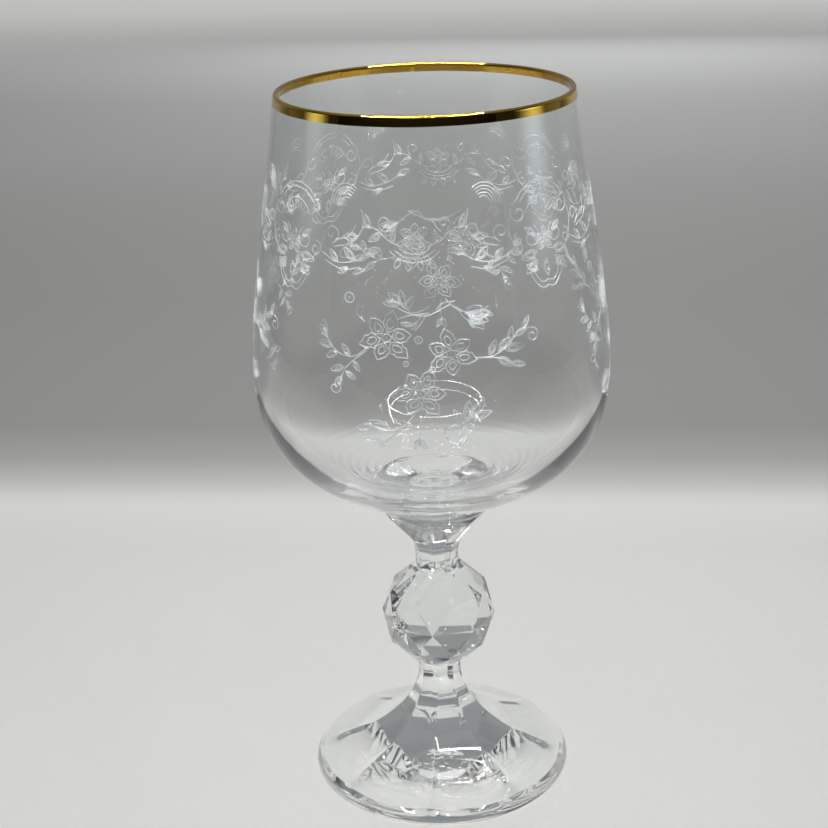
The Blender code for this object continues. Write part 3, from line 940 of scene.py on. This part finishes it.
def table_top():
    """A wide disc, turned so that its card lies square to the view."""
    bm = bmesh.new()
    angles = [math.tau * k / TABLE_SIDES for k in range(TABLE_SIDES)]
    loops = []
    for radius in (0.05, 0.1, 0.2, 0.4, 0.8, 1.6, 3.2, 6.0):
        loops.append([bm.verts.new((radius * math.cos(a), radius * math.sin(a), TABLE_HEIGHT))
                      for a in angles])
    pole = bm.verts.new((0, 0, TABLE_HEIGHT))
    for k in range(TABLE_SIDES):
        n = (k + 1) % TABLE_SIDES
        bm.faces.new((pole, loops[0][k], loops[0][n]))
        for a, b in zip(loops, loops[1:]):
            bm.faces.new((a[k], b[k], b[n], a[n]))
    obj = made(bm, "table")
    obj.rotation_euler.z = TABLE_TURN
    return obj


def table_with_painted_light():
    material, nodes, links, card = surface("card_with_painted_light", {"Roughness": 0.7, "Specular IOR Level": 0.1})
    where = nodes.new("ShaderNodeTexCoord")
    parts = nodes.new("ShaderNodeSeparateXYZ")
    links.new(where.outputs["Object"], parts.inputs["Vector"])
    across = maths(nodes, links, "MULTIPLY", maths(nodes, links, "ABSOLUTE", parts.outputs["X"]), 0.4)
    away = maths(nodes, links, "ABSOLUTE", parts.outputs["Y"])
    distance = maths(nodes, links, "SMOOTH_MAX", across, away, 0.02)
    ramp = nodes.new("ShaderNodeValToRGB")
    # Painted light and shade: the card's grey falls and rises with distance from the glass, in place of the
    # lamps' light and fall-off on the table.
    painted_light_stops = ((0, 0.33), (0.06, 0.35), (0.076, 0.38), (0.084, 0.285), (0.094, 0.21), (0.11, 0.17),
             (0.19, 0.2), (0.35, 0.29), (0.44, 0.305), (0.56, 0.39), (0.7, 0.52))
    elements = ramp.color_ramp.elements
    while len(elements) < len(painted_light_stops):
        elements.new(0.5)
    for element, (place, grey) in zip(elements, painted_light_stops):
        element.position = place
        element.color = (grey, grey, grey * 0.975, 1.0)
    links.new(ranged(nodes, links, distance, 0.0, 1.0, 0.0, PAINTED_LIGHT_REACH), ramp.inputs["Fac"])
    links.new(ramp.outputs["Color"], card.inputs["Base Color"])
    return material


table = table_top()
table.data.materials.append(table_with_painted_light())


# ---- Studio light --------------------------------------------------------------------------
# A ring of small lamps above the glass, soft windows and fills at its sides, a wash over the far
# table, dark cards and a dim room for it to mirror. Crystal needs many bounces, and sharp ones.

LAMP_RING_RADIUS = 0.223
LAMP_RING_HEIGHT = 0.611
LAMP_RING_SHIFT = -0.09
LAMPS = 116
LAMP_SIZE = 0.0075
LAMP_POWER = 7.4
FILL_POWER = 1.9
CARD_STEPS = 8
BOUNCES = 40


def area_light(name, place, target, width, height, power, colour, shape="RECTANGLE", mirrored=True):
    data = bpy.data.lights.new(name, "AREA")
    data.shape = shape
    data.size, data.size_y = width, height
    data.energy = power
    data.color = colour
    data.use_shadow = False
    light = bpy.data.objects.new(name, data)
    bpy.context.scene.collection.objects.link(light)
    light.location = place
    light.rotation_euler = (Vector(target) - Vector(place)).to_track_quat("-Z", "Y").to_euler()
    light.visible_camera = False
    light.visible_glossy = light.visible_transmission = mirrored
    return light


def soften_edges(light):
    """The light is brightest in its middle and fades to nothing at its edges."""
    light.data.use_nodes = True
    nodes, links = light.data.node_tree.nodes, light.data.node_tree.links
    place = nodes.new("ShaderNodeNewGeometry")
    parts = nodes.new("ShaderNodeSeparateXYZ")
    links.new(place.outputs["Parametric"], parts.inputs["Vector"])
    fades = []
    for axis in ("X", "Y"):
        from_edge = maths(nodes, links, "PINGPONG", parts.outputs[axis], 0.5)
        fades.append(ranged(nodes, links, from_edge, 0.0, 1.0, 0.0, 0.5, "SMOOTHSTEP"))
    links.new(maths(nodes, links, "MULTIPLY", *fades), nodes["Emission"].inputs["Strength"])


for k in range(LAMPS):
    a = math.tau * k / LAMPS
    spot = (LAMP_RING_RADIUS * math.cos(a), LAMP_RING_RADIUS * math.sin(a) + LAMP_RING_SHIFT,
            LAMP_RING_HEIGHT)
    area_light(f"lamp_{k:03d}", spot, (spot[0], spot[1], 0), LAMP_SIZE, LAMP_SIZE, LAMP_POWER / LAMPS,
               (1.0, 0.99, 0.97), "DISK")
for name, place, width, height, power in (("right_window", (0.60, -0.02, 0.150), 0.34, 0.15, 0.50),
                                          ("left_window", (-0.60, -0.12, 0.17), 0.30, 0.20, 0.28)):
    window = area_light(name, place, (0, 0, 0.165), width, height, power, (0.80, 0.92, 1.0))
    window.visible_transmission = False
    soften_edges(window)
area_light("far_wash", (0.0, 2.0, 1.3), (0, 2.3, 0), 3.0, 1.6, 34.0, (1, 1, 1), mirrored=False)
for name, place in (("left_fill", (-0.9, -0.7, 0.35)), ("right_fill", (0.9, -0.7, 0.35)),
                    ("rear_fill", (0.0, 1.1, 0.35))):
    area_light(name, place, (0, 0, 0.11), 0.5, 0.5, FILL_POWER, (0.95, 0.98, 1.0), mirrored=False)


def dark_card(name, corner, width_way, height):
    """A black card on edge on the table, which shows only where the gold and the glass mirror it."""
    bm = bmesh.new()
    corner, width_way, height = Vector(corner), Vector(width_way), Vector((0, 0, height))
    shares = np.linspace(0, 1, CARD_STEPS + 1)
    rows = [[bm.verts.new(corner + width_way * across + height * up) for across in shares]
            for up in shares]
    for low, high in zip(rows, rows[1:]):
        for k in range(CARD_STEPS):
            bm.faces.new((low[k], low[k + 1], high[k + 1], high[k]))
    card = made(bm, name)
    card.data.materials.append(black_card)
    card.visible_camera = card.visible_diffuse = False
    card.visible_transmission = card.visible_shadow = False


black_card = surface("black_card", {"Base Color": (0.012, 0.012, 0.012, 1.0), "Roughness": 0.9,
                                    "Specular IOR Level": 0.0})[0]
dark_card("front_card", (-0.7, -0.43, 0.0), (1.4, 0, 0), 0.9)
dark_card("left_card", (-0.5, -0.43, 0.0), (0, 0.75, 0), 0.06)
dark_card("right_card", (0.5, -0.43, 0.0), (0, 0.75, 0), 0.06)


def room():
    """Dark in front, mid grey behind and overhead."""
    world = bpy.data.worlds.new("room")
    world.use_nodes = True
    nodes, links = world.node_tree.nodes, world.node_tree.links
    where = nodes.new("ShaderNodeTexCoord")
    parts = nodes.new("ShaderNodeSeparateXYZ")
    links.new(where.outputs["Generated"], parts.inputs["Vector"])
    behind = ranged(nodes, links, parts.outputs["Y"], 0.0, 1.0, -0.25, 0.75, "SMOOTHSTEP")
    overhead = ranged(nodes, links, parts.outputs["Z"], 0.0, 1.0, 0.40, 0.85, "SMOOTHSTEP")
    either = maths(nodes, links, "MAXIMUM", behind, overhead)
    colour = graded(nodes, links, either, (0.025, 0.027, 0.03), (0.25, 0.26, 0.265))
    links.new(colour, nodes["Background"].inputs["Color"])
    return world


bpy.context.scene.world = room()
bpy.context.scene.view_settings.view_transform = "Standard"
light_paths = bpy.context.scene.cycles
light_paths.max_bounces = BOUNCES
light_paths.transmission_bounces = BOUNCES
light_paths.glossy_bounces = BOUNCES
light_paths.transparent_max_bounces = BOUNCES
light_paths.blur_glossy = 0.0
light_paths.sample_clamp_indirect = 60.0


# ---- Camera --------------------------------------------------------------------------------
# A long lens a hand's width above the rim, looking down at the glass.

LENS = 71.87
PAN, TILT, ROLL = math.radians(-0.709), math.radians(21.204), math.radians(-1.8035)
ROUND_THE_GLASS = math.radians(6.5)


def camera():
    data = bpy.data.cameras.new("camera")
    data.lens = LENS
    data.sensor_width = 36.0
    obj = bpy.data.objects.new("camera", data)
    bpy.context.scene.collection.objects.link(obj)
    turn = Matrix.Rotation(ROUND_THE_GLASS, 4, "Z")
    forward = Vector((math.sin(PAN) * math.cos(TILT), math.cos(PAN) * math.cos(TILT), -math.sin(TILT)))
    level = forward.cross(Vector((0, 0, 1))).normalized()
    upward = level.cross(forward)
    right = math.cos(ROLL) * level + math.sin(ROLL) * upward
    top = math.cos(ROLL) * upward - math.sin(ROLL) * level
    frame_of_view = Matrix((right, top, -forward)).transposed().to_4x4()
    frame_of_view.translation = (0.0, -0.35241, 0.22725)
    obj.matrix_world = turn @ frame_of_view
    bpy.context.scene.camera = obj


camera()
